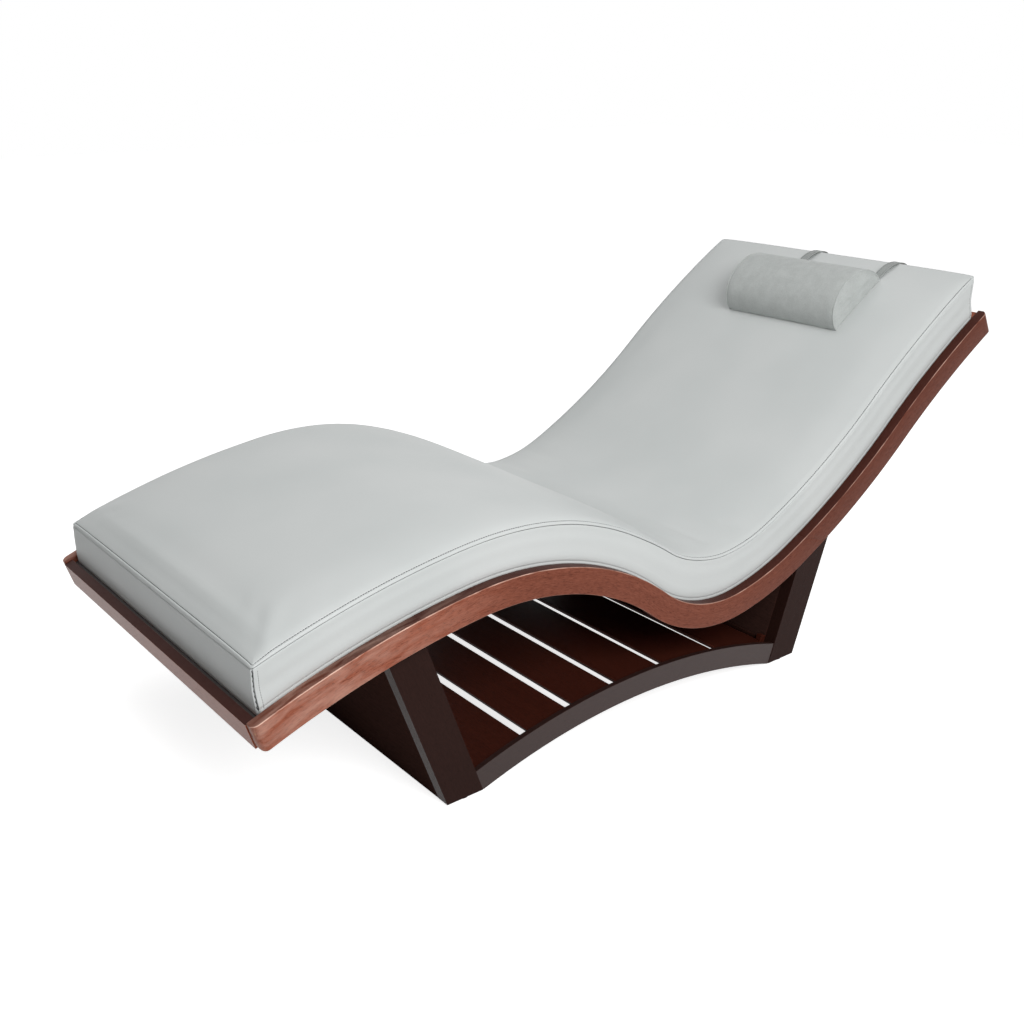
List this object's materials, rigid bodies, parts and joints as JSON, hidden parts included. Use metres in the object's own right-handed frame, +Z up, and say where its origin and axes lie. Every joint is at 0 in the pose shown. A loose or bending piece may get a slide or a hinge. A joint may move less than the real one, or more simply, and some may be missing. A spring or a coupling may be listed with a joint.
{
  "type": "relaxation lounger",
  "caption": "Padded wave-shaped reclining bed in a bent timber tray on a boxed pedestal with an arched slatted shelf and a sliding half-round head pillow.",
  "frame": {"origin": "on the floor, under the middle of the whole part's bounding box", "axes": "+X from the foot end to the head end, +Y to the left of someone lying on it, +Z up"},
  "size_m": [1.924, 0.845, 0.7904],
  "materials": {
    "mahogany": "satin red-brown stain and lacquer",
    "espresso_wood": "satin dark brown stain and lacquer",
    "slat_wood": "satin dark red-brown stain and lacquer",
    "plywood": "sanded bare plywood and softwood",
    "beech_dowel": "bare beech",
    "zinc_steel": "zinc plated",
    "brass_insert": "turned",
    "glide_plastic": "moulded",
    "hook_and_loop": "woven hook-and-loop tape",
    "foam": "cut upholstery foam",
    "cushion_vinyl": "smooth pale grey upholstery vinyl, sewn",
    "pillow_suede": "short-napped grey microsuede with piped ends",
    "strap_suede": "flat sewn microsuede strap",
    "steel_bar": "cut bar"
  },
  "bodies": {
    "frame": {"rail_left_lower": "mahogany", "rail_left_upper": "mahogany", "rail_right_lower": "mahogany", "rail_right_upper": "mahogany", "foot_crossbar": "mahogany", "head_crossbar": "mahogany", "crossbar_dowels": "beech_dowel", "deck_panel": "plywood", "deck_cleat_left": "plywood", "deck_cleat_right": "plywood", "deck_screws": "zinc_steel", "grip_strips": "hook_and_loop", "front_leg_left": "espresso_wood", "front_leg_right": "espresso_wood", "rear_leg_left": "espresso_wood", "rear_leg_right": "espresso_wood", "front_outer_panel": "espresso_wood", "front_inner_panel": "espresso_wood", "rear_inner_panel": "espresso_wood", "rear_outer_panel": "espresso_wood", "front_beam": "plywood", "rear_beam": "plywood", "leg_bolts": "zinc_steel", "leg_inserts": "brass_insert", "floor_glides": "glide_plastic", "arch_rail_left": "espresso_wood", "arch_rail_right": "espresso_wood", "arch_dowels": "beech_dowel", "shelf_slat_1": "slat_wood", "shelf_slat_2": "slat_wood", "shelf_slat_3": "slat_wood", "shelf_slat_4": "slat_wood", "shelf_slat_5": "slat_wood", "shelf_slat_6": "slat_wood", "shelf_battens": "espresso_wood", "corner_blocks": "slat_wood", "cushion_foam": "foam", "cushion_cover": "cushion_vinyl", "strap_left": "strap_suede", "strap_right": "strap_suede"},
    "pillow": {"pillow_foam": "foam", "pillow_cover": "pillow_suede"},
    "weight": {"weight_bar": "steel_bar", "weight_sleeve": "strap_suede"}
  },
  "joints": [
    {"name": "pillow_slide", "type": "hinge", "parent": "frame", "child": "pillow", "pos_m": [1.97859, 0, -1.11655], "axis": [0, 1, 0], "range_deg": [-3, 0.25], "deforming": ["strap_left", "strap_right"]},
    {"name": "weight_slide", "type": "slide", "parent": "frame", "child": "weight", "axis": [0, 0, 1], "range_m": [-0.012, 0.118], "deforming": ["strap_left", "strap_right"]}
  ],
  "couplings": [
    {"joint": "weight_slide", "follows": "pillow_slide", "m_per_rad": -2.172}
  ]
}
